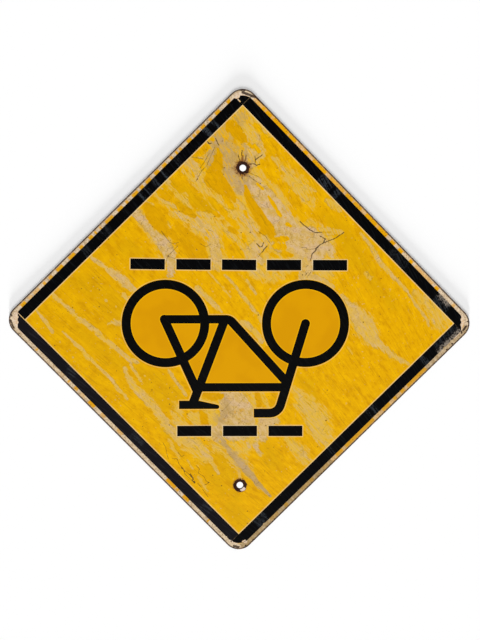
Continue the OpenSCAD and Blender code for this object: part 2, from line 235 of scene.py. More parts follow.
# The worn places of the yellow face, as strokes along the way the sign was scraped. Each point is its
# place and the stroke's width there, in millimetres, and each group is named by how bare it is worn.
wornStrokes = {
    0.95: [
        [(-20, -138, 36), (-10, -155, 60), (-5, -170, 66), (-5, -185, 70)],
        [(45, -180, 24), (65, -182, 16)], [(-42, -188, 20), (-42, -212, 18)],
        [(42, -188, 20), (42, -212, 18)],
        [(-190, 195, 16), (-178, 183, 18), (-163, 168, 20), (-150, 150, 22), (-138, 135, 24),
         (-130, 120, 26), (-127, 100, 16), (-128, 85, 14)],
        [(100, 150, 50), (120, 150, 50), (140, 150, 30), (160, 135, 20), (165, 122, 12)],
        [(-22, 258, 30), (0, 250, 44), (20, 245, 40), (40, 228, 34), (55, 205, 44), (68, 185, 50),
         (80, 165, 50), (95, 150, 56), (110, 140, 60), (125, 128, 56)],
        [(-38, -208, 10), (-27, -225, 9), (-14, -242, 9), (-2, -256, 12), (10, -268, 14), (22, -282, 12),
         (33, -297, 9), (46, -309, 7), (58, -320, 5)],
    ],
    0.75: [
        [(-275, 118, 7), (-262, 108, 8), (-248, 98, 8), (-235, 88, 14), (-222, 80, 18), (-208, 68, 18),
         (-195, 58, 10), (-188, 52, 6)], [(32, -215, 10), (30, -230, 10), (38, -242, 10)],
        [(15, -222, 8), (18, -230, 5)], [(12, 350, 16), (18, 325, 34), (22, 305, 42), (15, 292, 30)],
        [(-50, 335, 14), (-38, 318, 20), (-30, 310, 26), (-20, 285, 30), (-12, 262, 44)],
        [(-58, 320, 14), (-54, 300, 16), (-56, 285, 14), (-60, 272, 8)],
        [(-98, 288, 14), (-85, 280, 22), (-78, 268, 16), (-82, 256, 8)],
        [(-120, 195, 12), (-100, 187, 16), (-80, 178, 22), (-60, 165, 24), (-50, 150, 22), (-48, 135, 22),
         (-45, 118, 22), (-44, 100, 18)],
        [(-12, 215, 16), (0, 198, 22), (10, 182, 16), (20, 168, 18), (35, 155, 22), (40, 145, 24),
         (25, 133, 26), (15, 125, 26), (36, 110, 16)], [(55, 140, 14), (80, 132, 20), (95, 122, 24)],
        [(118, 110, 18), (118, 85, 30), (125, 85, 14), (150, 78, 8), (168, 65, 6)],
    ],
    0.65: [
        [(-130, -90, 6), (-120, -105, 6), (-108, -122, 6), (-98, -135, 6)],
        [(-210, -85, 6), (-205, -100, 10), (-195, -118, 14), (-180, -133, 16), (-165, -148, 16),
         (-150, -165, 16), (-140, -180, 18), (-130, -195, 20), (-115, -210, 18), (-108, -222, 12)],
        [(-240, -5, 5), (-222, -4, 12)], [(-80, 60, 10), (-65, 48, 12), (-50, 32, 10), (-35, 18, 6)],
        [(0, 2, 6), (12, -6, 10), (25, -18, 12), (38, -35, 10)],
        [(185, 50, 6), (195, 35, 12), (208, 22, 24), (218, 8, 34), (228, -8, 38), (238, -25, 30),
         (250, -38, 18), (265, -48, 12), (280, -60, 12), (295, -68, 10), (308, -75, 6)],
        [(-212, 46, 10), (-205, 38, 6)], [(118, -243, 14), (125, -252, 6)],
        [(215, 165, 4), (235, 140, 8), (250, 115, 10), (262, 100, 9), (278, 85, 8), (295, 68, 7),
         (310, 50, 6), (320, 35, 6), (330, 20, 5), (340, 8, 5), (345, -5, 4)],
        [(-343, 50, 7), (-330, 36, 8), (-312, 22, 8), (-295, 5, 9), (-278, -8, 9), (-262, -18, 9),
         (-250, -32, 8), (-232, -45, 8), (-215, -60, 9), (-200, -72, 8), (-188, -75, 8)],
        [(-200, -80, 5), (-190, -95, 5), (-180, -110, 5)],
        [(-370, 20, 3), (-360, 5, 6), (-350, -8, 8), (-340, -22, 5)],
        [(-322, -20, 4), (-310, -32, 5), (-290, -50, 8), (-278, -65, 9), (-262, -80, 6), (-240, -100, 6),
         (-228, -115, 7), (-218, -128, 7), (-205, -142, 6)],
        [(-30, 85, 4), (-10, 65, 5), (5, 45, 6), (20, 28, 7), (32, 12, 6), (38, 0, 6)],
        [(10, 75, 6), (20, 62, 6), (28, 50, 4)],
        [(-100, -222, 16), (-80, -222, 18), (-65, -235, 16), (-55, -250, 12), (-45, -268, 8),
         (-38, -278, 6)],
    ],
    0.55: [
        [(8, 383, 10), (48, 337, 10)], [(-12, 380, 14), (10, 345, 20), (20, 325, 16)],
        [(-95, 296, 4), (-72, 295, 4)],
        [(-112, 276, 6), (-95, 262, 10), (-78, 248, 8), (-62, 235, 7), (-45, 222, 6), (-38, 208, 6),
         (-20, 200, 5)], [(-75, 258, 5), (-55, 240, 8), (-40, 228, 6)],
        [(-135, 255, 8), (-122, 243, 10), (-112, 228, 10), (-100, 213, 8), (-92, 206, 6)],
        [(-130, 240, 4), (-118, 228, 6), (-112, 222, 4)], [(-150, 243, 5), (-142, 238, 4)],
        [(-158, 232, 5), (-150, 222, 6), (-138, 214, 6), (-127, 212, 7), (-120, 205, 8)],
        [(-172, 215, 6), (-160, 210, 6)], [(-135, 178, 8), (-130, 168, 8)],
        [(-75, 195, 10), (-50, 192, 14), (-30, 188, 12), (-12, 195, 20), (0, 205, 16), (-8, 215, 10)],
        [(-60, 185, 8), (-35, 172, 10), (-20, 160, 12), (-10, 150, 10)],
        [(140, 168, 8), (165, 168, 8), (183, 166, 4)], [(150, 160, 6), (185, 163, 4)],
        [(55, 298, 6), (66, 285, 8), (78, 270, 12), (90, 255, 20), (97, 243, 22), (108, 232, 14),
         (118, 222, 8)], [(40, 265, 8), (60, 258, 6), (72, 256, 6)],
        [(100, 258, 6), (112, 250, 8), (122, 243, 8), (135, 238, 4)],
        [(155, 222, 10), (168, 212, 16), (178, 203, 8)], [(155, 98, 4), (168, 85, 5)],
        [(-65, -175, 30), (-50, -182, 24)], [(-85, -175, 22), (-78, -182, 18)],
        [(0, -270, 3), (2, -290, 6)], [(85, -215, 8), (95, -225, 14), (108, -235, 16)],
        [(98, -122, 4), (110, -135, 6), (115, -150, 16), (130, -165, 26), (140, -180, 34), (148, -198, 32),
         (155, -212, 14)],
    ],
    0.35: [
        [(42, 322, 6), (55, 310, 6), (62, 302, 5)], [(98, 208, 6), (110, 195, 7), (125, 180, 6)],
        [(320, 55, 12), (345, 30, 14), (360, 15, 14), (365, 0, 16)], [(228, 90, 10), (236, 80, 6)],
        [(-60, 90, 4), (-45, 75, 4), (-30, 58, 4), (-18, 45, 3)], [(-5, 88, 3), (15, 65, 3)],
        [(195, -45, 6), (205, -55, 5)], [(120, -140, 6), (140, -155, 8), (165, -175, 6)],
        [(150, -215, 8), (165, -235, 6)], [(-75, -285, 5), (-65, -300, 7), (-58, -312, 5)],
        [(-95, -255, 4), (-85, -270, 4)], [(-130, -215, 6), (-120, -235, 8), (-110, -250, 6)],
        [(40, -140, 10), (55, -158, 8)],
    ],
}

# Small pale dots among them, and how bare they are
paleDots = [(-244, 36, 5), (-226, 25, 4), (-327, -39, 5), (-303, -67, 5), (-174, -100, 5), (-247, -54, 3),
            (-251, 46, 3), (-238, 64, 4), (233, 84, 5)]
paleDotsBare = 0.55

# Yellow that is left inside the worn places
leftStrokes = {
    "golden": [
        [(-44, 312, 4), (-42, 300, 14), (-44, 284, 20), (-50, 269, 28), (-50, 257, 36), (-40, 247, 32),
         (-27, 237, 22), (-17, 227, 14), (-13, 218, 6)],
        [(-27, 362, 8), (-20, 352, 22), (-10, 340, 20), (0, 329, 12)],
        [(-6, 349, 8), (2, 334, 10), (7, 325, 5)],
        [(6, 246, 5), (10, 232, 13), (15, 218, 17), (23, 205, 17), (31, 195, 20), (39, 182, 21),
         (48, 170, 21), (55, 158, 14)],
        [(-104, 160, 18), (-96, 148, 30), (-87, 137, 34), (-80, 126, 34), (-76, 116, 32)],
        [(-128, 161, 13), (-122, 152, 13), (-116, 146, 5)],
        [(-118, 178, 8), (-112, 169, 15), (-108, 161, 12)],
        [(-178, 214, 5), (-168, 203, 19), (-158, 190, 30), (-149, 178, 30), (-141, 167, 20),
         (-134, 157, 9)], [(-118, 214, 7), (-106, 203, 14), (-94, 195, 14), (-85, 191, 7)],
        [(-78, 223, 10), (-68, 212, 15), (-58, 200, 9)], [(40, 165, 16), (54, 168, 14)],
        [(-152, 236, 6), (-142, 229, 15), (-132, 222, 10)], [(-20, 168, 10), (-12, 163, 10)],
        [(-70, -133, 8), (-50, -138, 14), (-34, -137, 10)],
        [(-72, -163, 6), (-66, -175, 15), (-63, -190, 14)], [(32, -133, 12), (36, -150, 12)],
        [(62, -133, 12), (60, -150, 12)],
    ],
    "bright": [
        [(-64, 314, 11), (-74, 306, 13), (-86, 300, 6)], [(-84, 290, 5), (-70, 285, 8)],
        [(-63, 334, 4), (-53, 328, 7)], [(-112, 277, 7), (-119, 263, 15), (-118, 250, 20), (-110, 238, 14)],
        [(-104, 246, 10), (-90, 236, 14), (-76, 226, 12)], [(-92, 222, 10), (-86, 210, 10)],
        [(-58, 222, 8), (-48, 212, 12), (-38, 203, 12), (-30, 196, 12)],
        [(-30, 224, 10), (-22, 214, 10), (-16, 206, 8)], [(-55, 199, 7), (-42, 192, 9)],
        [(-26, 187, 8), (-14, 178, 11), (-6, 170, 7)],
        [(-32, 156, 5), (-29, 148, 11), (-18, 134, 24), (-11, 121, 29), (-6, 114, 27)],
        [(24, 355, 9), (31, 347, 9)], [(40, 333, 12), (50, 318, 15), (60, 304, 12)],
        [(35, 291, 8), (43, 280, 17), (53, 268, 22), (63, 256, 13)],
        [(67, 255, 9), (77, 244, 16), (87, 232, 16), (97, 220, 17), (104, 209, 13)],
        [(104, 200, 12), (112, 188, 12)], [(28, 250, 4), (38, 240, 5)],
        [(48, 228, 4), (57, 214, 8), (64, 204, 5)], [(66, 200, 7), (71, 193, 6)],
        [(83, 178, 7), (89, 174, 5)], [(3, 157, 7), (6, 147, 7)],
        [(60, 150, 7), (72, 150, 13), (82, 152, 10)], [(62, 138, 12), (76, 136, 12)],
        [(78, 124, 13), (92, 121, 7)], [(56, 123, 9), (66, 118, 7)], [(12, 322, 6), (18, 314, 5)],
        [(6, 200, 6), (10, 190, 5)], [(-64, 152, 5), (-61, 150, 4)], [(22, 318, 8), (30, 308, 8)],
        [(96, -160, 10), (110, -178, 12), (118, -192, 8)],
    ],
}

# Cracks, as plain lines, by how dark they are
cracks = {
    1: [
        [(106, 183), (115, 175), (124, 168), (134, 163), (146, 164)], [(143, 157), (150, 153)],
        [(186, 164), (170, 153), (148, 144), (140, 139), (134, 134)], [(148, 144), (153, 152)],
        [(141, 139), (134, 130), (129, 125), (126, 113)], [(23, 285), (24, 293), (30, 297), (36, 302)],
        [(13, 285), (20, 286), (26, 283), (32, 285)], [(24, 291), (23, 299)],
        [(1, 290), (-1, 303), (0, 310)], [(-4, 290), (-7, 301)], [(6, 290), (7, 301)],
        [(-48, 330), (-45, 323), (-42, 318)], [(-64, 325), (-59, 320), (-55, 322)],
        [(28, 142), (34, 136), (38, 137), (40, 144)], [(47, 138), (41, 131), (37, 126)],
    ],
    0.7: [
        [(-123, -251), (-114, -252), (-110, -262), (-103, -269), (-99, -281), (-88, -290), (-82, -297),
         (-84, -287), (-90, -278)],
        [(-79, -264), (-73, -270), (-75, -278), (-65, -284), (-60, -293), (-54, -295), (-63, -300)],
        [(134, 134), (121, 132)], [(109, 136), (117, 136), (121, 132)], [(118, 101), (122, 104)],
        [(117, 92), (119, 88), (116, 84)], [(120, 82), (127, 92)], [(31, 164), (44, 155), (52, 143)],
        [(37, 126), (31, 118)], [(-145, 163), (-137, 152), (-130, 143), (-122, 140), (-114, 143)],
        [(-115, 137), (-125, 126), (-133, 118), (-137, 105)], [(-135, 118), (-118, 113)],
        [(-75, 141), (-64, 135), (-56, 140)], [(-13, 277), (-20, 278)], [(12, 270), (31, 262)],
        [(1, 265), (1, 257)], [(12, 264), (24, 255), (34, 250)],
        [(-50, 314), (-64, 281), (-73, 272), (-83, 253)], [(-76, 276), (-65, 293), (-61, 302)],
        [(-95, 297), (-88, 296), (-70, 293)], [(-140, -222), (-135, -230), (-133, -241), (-130, -252)],
        [(-112, -240), (-106, -248), (-101, -245)], [(-76, -297), (-68, -306), (-57, -322)],
        [(-106, -269), (-93, -279), (-80, -295)], [(-60, 166), (-52, 163)],
        [(228, 93), (232, 90), (231, 85)],
    ],
    0.58: [
        [(-31, -181), (-22, -168), (-9, -159), (9, -137), (19, -132)],
        [(-44, -174), (-36, -168), (-22, -153), (-13, -143)], [(0, -152), (-5, -162), (-12, -177)],
    ],
}

# The rest of the wear, as strokes like the first ones
sheetingWear = {
    # Soft broad washes, where the yellow is rubbed thin
    "haze": [
        [(-2, 385, 10), (0, 370, 28), (-4, 350, 56), (-8, 330, 84), (-14, 310, 100), (-18, 290, 112),
         (-10, 265, 118), (4, 240, 116), (18, 215, 120), (30, 190, 124), (40, 165, 124), (48, 140, 116),
         (50, 118, 96)],
        [(-100, 282, 26), (-85, 268, 34), (-70, 250, 36), (-50, 225, 50), (-30, 200, 60), (-20, 175, 60),
         (-20, 150, 60), (-25, 125, 56)], [(-130, 252, 14), (-112, 232, 20), (-95, 212, 20)],
        [(-120, 195, 16), (-100, 187, 30), (-80, 178, 44), (-60, 165, 44), (-52, 150, 40), (-48, 130, 40),
         (-44, 112, 28)], [(-190, 195, 20), (-165, 168, 26), (-140, 140, 40), (-128, 110, 24)],
        [(-160, 234, 8), (-140, 217, 14), (-122, 209, 12)],
        [(60, 300, 8), (80, 275, 26), (100, 250, 34), (115, 232, 30), (128, 215, 20)],
        [(110, 160, 70), (130, 150, 64), (150, 140, 46), (160, 125, 26), (150, 100, 56), (142, 84, 30)],
        [(98, -122, 10), (118, -148, 40), (142, -182, 54), (158, -212, 34)],
        [(90, -215, 16), (115, -243, 30), (128, -260, 14)],
        [(-118, -148, 10), (-112, -185, 24), (-90, -222, 36), (-66, -250, 24)],
        [(-35, -215, 30), (-5, -248, 34), (22, -284, 18)],
        [(0, -138, 90), (-6, -165, 100), (-10, -195, 110)], [(320, 55, 12), (348, 27, 30), (365, 2, 34)],
        [(-70, -140, 14), (-50, -160, 26)], [(205, 22, 30), (225, -5, 46), (238, -25, 34)],
    ],
    # Duller yellow
    "mustard": [
        [(-310, 72, 36), (-270, 62, 56), (-232, 30, 56), (-226, -6, 36)],
        [(-300, -10, 26), (-250, -52, 40), (-212, -92, 30)],
        [(-186, -90, 24), (-160, -112, 56), (-132, -140, 56), (-116, -165, 24)],
        [(-150, -176, 16), (-130, -205, 22), (-112, -238, 24)],
        [(105, -100, 14), (125, -115, 30), (140, -140, 20)],
        [(-48, -228, 22), (-30, -252, 44), (-14, -285, 44), (-5, -322, 20)],
        [(45, -225, 22), (60, -250, 38), (76, -272, 20)], [(0, -350, 30), (6, -372, 20)],
        [(150, 195, 20), (185, 160, 40), (215, 115, 40), (245, 70, 30), (280, 30, 24)],
        [(-240, 150, 20), (-200, 130, 40), (-165, 105, 30)],
        [(-140, 250, 20), (-105, 228, 40), (-60, 205, 36)], [(-16, -345, 34), (8, -370, 30)],
        [(-70, -250, 24), (-48, -285, 30), (-30, -310, 30)],
    ],
    # Greyer dirt on the worn places
    "soot": [
        [(0, 372, 16), (-20, 345, 40), (-34, 325, 50), (-22, 300, 64), (-8, 270, 56), (2, 250, 34)],
        [(-54, 305, 24), (-58, 285, 24)],
        [(-38, -208, 14), (-14, -242, 16), (10, -268, 20), (33, -297, 16), (58, -320, 8)],
        [(-28, -142, 12), (-22, -160, 20), (-38, -180, 20)],
    ],
    # Brown and black places, most of them near the edges
    "rust": [
        [(-414, 9, 3), (-414, 6, 2)], [(-416, 0, 3), (-413, -9, 3), (-410, -15, 3)], [(-401, -25, 3)],
        [(415, 4, 3)], [(413, -5, 4), (408, -12, 4)], [(405, -17, 4)], [(388, -37, 4)], [(378, -48, 4)],
        [(-5, 418, 4), (4, 418, 4)], [(-36, 397, 4)],
        [(0, 413, 5), (25, 404, 4), (32, 397, 3), (38, 391, 3)], [(-9, -413, 4), (0, -415, 4)],
        [(13, -412, 4)], [(27, -402, 4)], [(-29, -400, 4)], [(218, -212, 3), (224, -206, 3)],
        [(-36, 326, 3)], [(16, 285, 3)], [(26, 287, 2)], [(40, 307, 2)], [(160, -173, 2)], [(158, -180, 3)],
        [(153, -196, 2)], [(153, -217, 2)], [(-321, -1, 1.5)], [(-222, 2, 1.5)], [(-166, -161, 2.2)],
        [(-313, 16, 1.5)], [(-327, 44, 1.5)], [(-275, 13, 1.5)], [(-253, 35, 1.5)], [(-333, 19, 1.8)],
        [(-194, -63, 1.5)], [(269, 14, 2.2)], [(217, 72, 1.6)], [(223, 70, 1.6)], [(293, 5, 1.6)],
        [(337, 27, 1.6)], [(200, 179, 1.6)],
        # The butt joints of the tape are black with dirt, but for the left one
        [(1, 392, 2.2), (14, 405, 2.2)], [(391, -1, 2.4), (405, -14, 2.4)],
        [(-1, -391, 2.4), (-14, -405, 2.4)],
    ],
    "stain": [
        [(-1, 288, 6), (1, 300, 3)], [(0, 270, 5), (1, 262, 2)], [(204, 207, 4), (212, 199, 3)],
        [(226, 184, 5), (219, 191, 3)],
    ],
    # Pale chips at the corners, down to the sheeting's backing
    "chip": [
        [(-17, 396, 10), (-8, 404, 14), (0, 409, 10), (10, 409, 5)],
        [(-404, 10, 10), (-408, 0, 10), (-402, -12, 8), (-392, -24, 5)],
        [(403, 12, 7), (406, 0, 7), (402, -12, 6), (392, -25, 5)], [(6, -402, 5), (13, -405, 6)],
        [(-14, -402, 6), (-4, -407, 6)],
    ],
}

# The yellow left on the margin outside the border, side by side round the sign: from, to and how strong,
# in millimetres along each side, and the rest of the margin is bare cream
marginBlocks = {
    "upper_left": [
        (-264, -251, 0.8), (-245, -235, 0.4), (-231, -216, 0.4), (-207, -200, 0.6), (-193, -184, 0.6),
        (-173, -157, 1), (-141, -127, 1), (-116, -107, 0.7), (-91, -82, 1), (-77, -72, 0.7),
        (-64, -60, 0.6), (-50, -31, 0.7), (-19, -5, 0.7), (2, 9, 0.6), (19, 33, 0.7), (39, 48, 0.7),
        (54, 66, 0.7), (76, 86, 1), (95, 105, 0.7), (115, 122, 0.6), (128, 134, 0.9), (138, 144, 0.6),
        (158, 168, 1), (172, 179, 0.6), (181, 189, 0.6), (192, 203, 0.7), (212, 220, 0.6), (230, 240, 1),
        (258, 267, 0.8)],
    "upper_right": [
        (-270, -263, 0.4), (-248, -241, 0.7), (-238, -225, 0.8), (-219, -183, 1), (-179, -162, 0.8),
        (-141, -130, 0.8), (-118, -83, 0.8), (-72, -36, 0.6), (-32, -14, 1), (-10, 8, 0.8), (20, 48, 1),
        (54, 74, 1), (85, 96, 0.8), (107, 118, 0.8), (134, 143, 0.8), (150, 197, 0.4), (202, 212, 0.7),
        (248, 255, 0.4)],
    "lower_right": [
        (-182, -134, 0.7), (-128, -118, 0.7), (-106, -100, 0.7), (-91, -72, 0.7), (-50, 23, 0.8),
        (30, 48, 0.7), (67, 82, 0.4), (106, 115, 0.9), (116, 138, 0.4), (172, 180, 0.7), (197, 217, 0.4)],
    "lower_left": [
        (-221, -216, 0.8), (-169, -154, 1), (-141, -136, 0.6), (-133, -110, 1), (3, 18, 0.4), (48, 60, 0.4),
        (75, 91, 1), (101, 112, 0.3), (119, 128, 0.6), (140, 144, 0.6), (156, 165, 0.2), (222, 225, 0.7)],
}

# Where the whole margin keeps a tinge of yellow, and where it is dirty: from, to and how strong
marginTinge = {
    "upper_left": [(-264, 267, 0.06)],
    "lower_left": [(-222, 226, 0.08)],
    "upper_right": [(-264, -165, 0.5), (-165, 20, 0.38), (20, 75, 0.5), (75, 212, 0.15)],
    "lower_right": [(-182, 60, 0.35), (60, 140, 0.2)],
}
marginDirt = {
    "upper_left": [(-290, 290, 0.12)],
    "lower_left": [(-290, 290, 0.15)],
    "upper_right": [(-60, 20, 0.12)],
    "lower_right": [(-290, -182, 0.55), (-182, 60, 0.3), (60, 290, 0.8)],
}


# The yellow sheeting and the symbol's film: flat faces of small triangles, so that wear can be painted on.
# How far apart the corners of the small triangles lie, in millimetres
faceGrain = {"sheeting": 2.05, "film": 2.6}


def topLoops(node):
    # Outline and holes of a flat piece, from its upper face, in millimetres
    shape = bmesh.new()
    shape.from_mesh(nodes[node].data)
    bmesh.ops.remove_doubles(shape, verts=shape.verts, dist=1e-6)
    shape.normal_update()
    following = {}
    for face in shape.faces:
        if face.normal.z > 0.9:
            for corner in face.loops:
                if min(beside.normal.z for beside in corner.edge.link_faces) < 0.5:
                    following[corner.vert] = corner.link_loop_next.vert
    loops = []
    while following:
        vert = next(iter(following))
        loop = []
        while vert in following:
            loop.append(Vector(vert.co.xy) / mm)
            vert = following.pop(vert)
        loops.append(loop)
    shape.free()
    return loops


def evenSteps(loop, step):
    points = []
    for start, end in zip(loop, loop[1:] + loop[:1]):
        count = max(1, math.ceil((end - start).length / step))
        points += [start.lerp(end, i / count) for i in range(count)]
    return points


def isInside(points, loops):
    # A point is inside if a line from it to one side crosses the loops an odd number of times
    inside = np.zeros(len(points), bool)
    x, y = points[:, 0], points[:, 1]
    for loop in loops:
        for (startX, startY), (endX, endY) in zip(loop, loop[1:] + loop[:1]):
            if startY != endY:
                level = (startY > y) != (endY > y)
                inside ^= level & (x < (endX - startX) * (y - startY) / (endY - startY) + startX)
    return inside


def triangles(points, loops, lines):
    # Triangles on all the points, without those that lie outside the loops
    result = delaunay_2d_cdt(points, lines, [], 0, 1e-5)
    spots = np.array([tuple(spot) for spot in result[0]])
    corners = np.array([face for face in result[2]])
    middles = spots[corners].mean(axis=1)
    keep = isInside(middles, loops)
    a, b, c = (spots[corners[:, i]] for i in range(3))
    turn = (b[:, 0] - a[:, 0]) * (c[:, 1] - a[:, 1]) - (b[:, 1] - a[:, 1]) * (c[:, 0] - a[:, 0])
    corners[turn < 0] = corners[turn < 0][:, ::-1]
    keep &= np.abs(turn) > 1e-9
    return spots, corners[keep]


def closedLines(loops):
    lines = []
    first = 0
    for loop in loops:
        lines += [(first + i, first + (i + 1) % len(loop)) for i in range(len(loop))]
        first += len(loop)
    return lines


# The depth that stands for far outside every stroke, and how far round a stroke depths are worked out,
# in millimetres. A stroke narrower than steepWidth has its depth stretched, so that the finish's noise
# doesn't break it up.
depths = {"outside": -30.0, "reach": 60, "steepWidth": 14, "leastWidth": 3, "steepness": 0.8}


def strokeDepth(spots, stroke):
    # How deep each spot lies inside a stroke, in millimetres, and below 0 outside
    depth = np.full(len(spots), depths["outside"])
    if len(stroke) == 1:
        stroke = stroke * 2
    for start, end in zip(stroke, stroke[1:]):
        (startX, startY, startWidth), (endX, endY, endWidth) = start, end
        runX, runY = endX - startX, endY - startY
        near = np.nonzero((np.abs(spots[:, 0] - (startX + endX) / 2) < abs(runX) / 2 + depths["reach"])
                          & (np.abs(spots[:, 1] - (startY + endY) / 2) < abs(runY) / 2 + depths["reach"]))[0]
        x, y = spots[near, 0] - startX, spots[near, 1] - startY
        share = np.clip((x * runX + y * runY) / max(runX ** 2 + runY ** 2, 1e-9), 0, 1)
        away = np.hypot(x - share * runX, y - share * runY)
        width = startWidth + share * (endWidth - startWidth)
        narrow = depths["steepWidth"] / np.maximum(width, depths["leastWidth"])
        steep = np.maximum(1, narrow) ** depths["steepness"]
        depth[near] = np.maximum(depth[near], (width / 2 - away) * steep)
    return depth


def strokesDepth(spots, strokes):
    return np.max([strokeDepth(spots, stroke) for stroke in strokes], axis=0)


def paintWear(spots):
    worn = np.full(len(spots), depths["outside"])
    bare = np.zeros(len(spots))
    for strength, strokes in wornStrokes.items():
        depth = strokesDepth(spots, strokes)
        # Where two strokes lie over each other, the less bare one wins
        wins = depth > np.minimum(worn, 1)
        bare[wins] = strength
        worn = np.maximum(worn, depth)
    dots = strokesDepth(spots, [[dot] for dot in paleDots])
    bare[dots > worn] = paleDotsBare
    return {"worn": np.maximum(worn, dots), "bare": bare}


def paintLeft(spots):
    golden, bright = (strokesDepth(spots, leftStrokes[name]) for name in ("golden", "bright"))
    return {"left": np.maximum(golden, bright), "golden": (golden > bright).astype(float)}


# Where the margin starts outside the border and where its yellow ends, from the sign's middle, and the
# depth that a tinge of yellow is given, all in millimetres
margin = {"start": 280, "end": 302, "tingeDepth": 2}


def paintMargin(spots):
    # Depth inside the yellow blocks, how strong each block is, and how dirty the margin is
    block = np.full(len(spots), depths["outside"])
    strong = np.zeros(len(spots))
    dirt = np.zeros(len(spots))
    for side, blocks in marginBlocks.items():
        turn = math.radians(sideTurns[side])
        along = spots[:, 0] * math.cos(turn) + spots[:, 1] * math.sin(turn)
        out = -spots[:, 0] * math.sin(turn) + spots[:, 1] * math.cos(turn)
        for start, end, strength in blocks:
            depth = np.minimum((end - start) / 2 - np.abs(along - (start + end) / 2), margin["end"] - out)
            depth[out < margin["start"]] = depths["outside"]
            wins = depth > block
            block[wins] = depth[wins]
            strong[wins] = strength
        for start, end, strength in marginTinge[side]:
            faint = (out > margin["start"]) & (along > start) & (along < end) & (block < 0.3)
            block[faint] = margin["tingeDepth"]
            strong[faint] = strength
        for start, end, strength in marginDirt[side]:
            dirt[(out > margin["start"]) & (along > start) & (along < end)] = strength
    return {"block": block, "strong": strong, "dirt": dirt}


def addLines(points, lines, stroke, step):
    for start, end in zip(stroke, stroke[1:]):
        start, end = Vector(start), Vector(end)
        count = math.ceil((end - start).length / step)
        lines += [(len(points) + i, len(points) + i + 1) for i in range(count)]
        points += [start.lerp(end, i / count) for i in range(count + 1)]


def pointTree(points):
    tree = kdtree.KDTree(len(points))
    for i, point in enumerate(points):
        tree.insert((point[0], point[1], 0), i)
    tree.balance()
    return tree


def makeFace(name, node, grain, strokes=()):
    # A flat piece with the node's own outline and thickness, in small triangles that can be painted
    loops = topLoops(node)
    edges = [evenSteps(loop, grain) for loop in loops]
    points = [point for loop in edges for point in loop]
    rimLines = closedLines(edges)
    rimCount = len(points)
    lines = list(rimLines)
    for stroke in strokes:
        addLines(points, lines, stroke, grain)
    taken = pointTree(points)
    rows = math.ceil(2 * sign["edge"] / grain)
    steps = (np.arange(rows) - (rows - 1) / 2) * grain
    along, across = [axis.ravel() for axis in np.meshgrid(steps, steps)]
    grid = np.stack([along - across, along + across], axis=1) / math.sqrt(2)
    grid = grid[isInside(grid, loops)]
    free = [Vector(spot) for spot in grid if taken.find((spot[0], spot[1], 0))[2] > grain * 0.55]
    spots, upper = triangles(points + free, edges, lines)
    lowerSpots, lower = triangles(points[:rimCount], edges, rimLines)
    low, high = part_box(node)
    verts = [(x * mm, y * mm, high[2]) for x, y in spots.tolist()]
    verts += [(x * mm, y * mm, low[2]) for x, y in lowerSpots.tolist()]
    count = len(spots)
    faces = [tuple(face) for face in upper.tolist()]
    faces += [tuple(count + i for i in reversed(face)) for face in lower.tolist()]
    faces += [(end, start, count + start, count + end) for start, end in rimLines]
    mesh = bpy.data.meshes.new(name)
    mesh.from_pydata(verts, [], faces)
    piece = bpy.data.objects.new(name, mesh)
    bpy.context.scene.collection.objects.link(piece)
    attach(piece, "root")
    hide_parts(node)
    print(name + ":", len(faces), "faces")
    return piece, np.concatenate([spots, lowerSpots])


def paint(piece, values):
    for name, value in values.items():
        layer = piece.data.attributes.new(name, "FLOAT", "POINT")
        layer.data.foreach_set("value", value.astype(np.float32))


def besideBlack(spots):
    # Distance from the nearest outline of anything black
    outlines = [point for node in blackNodes for loop in topLoops(node) for point in evenSteps(loop, 0.6)]
    tree = pointTree(outlines)
    return np.array([tree.find((x, y, 0))[2] for x, y in spots.tolist()])


def paintCracks(spots):
    # Only the corners of triangles that lie on a crack
    points, strengths = [], []
    for strength, group in cracks.items():
        for crack in group:
            addLines(points, [], crack, faceGrain["sheeting"])
            strengths += [strength] * (len(points) - len(strengths))
    tree = pointTree(points)
    nearest = [tree.find((x, y, 0)) for x, y in spots.tolist()]
    return np.array([strengths[index] if away < 0.05 else 0 for _, index, away in nearest])


def makeSheeting():
    crackLines = [crack for group in cracks.values() for crack in group]
    piece, spots = makeFace("sheeting_face", "yellow_sheeting", faceGrain["sheeting"], crackLines)
    for values in (paintWear(spots), paintLeft(spots), paintMargin(spots)):
        paint(piece, values)
    paint(piece, {name: strokesDepth(spots, strokes) for name, strokes in sheetingWear.items()})
    paint(piece, {"crack": paintCracks(spots), "beside": besideBlack(spots)})
    return piece


def makeFilm():
    piece, spots = makeFace("film_face", "symbol_film", faceGrain["film"])
    paint(piece, {"beside": besideBlack(spots)})
    return piece


def fromEdge(x, y):
    # Depth inside the sheet's rounded square
    side = sign["edge"] - sign["cornerRadius"]
    across = abs(x + y) / math.sqrt(2) - side
    along = abs(y - x) / math.sqrt(2) - side
    corner = (across.most(0) * across.most(0) + along.most(0) * along.most(0)) ** 0.5
    return sign["cornerRadius"] - corner - across.most(along).least(0)


def fromPoint(x, y, point):
    return ((x - point[0]) * (x - point[0]) + (y - point[1]) * (y - point[1])) ** 0.5


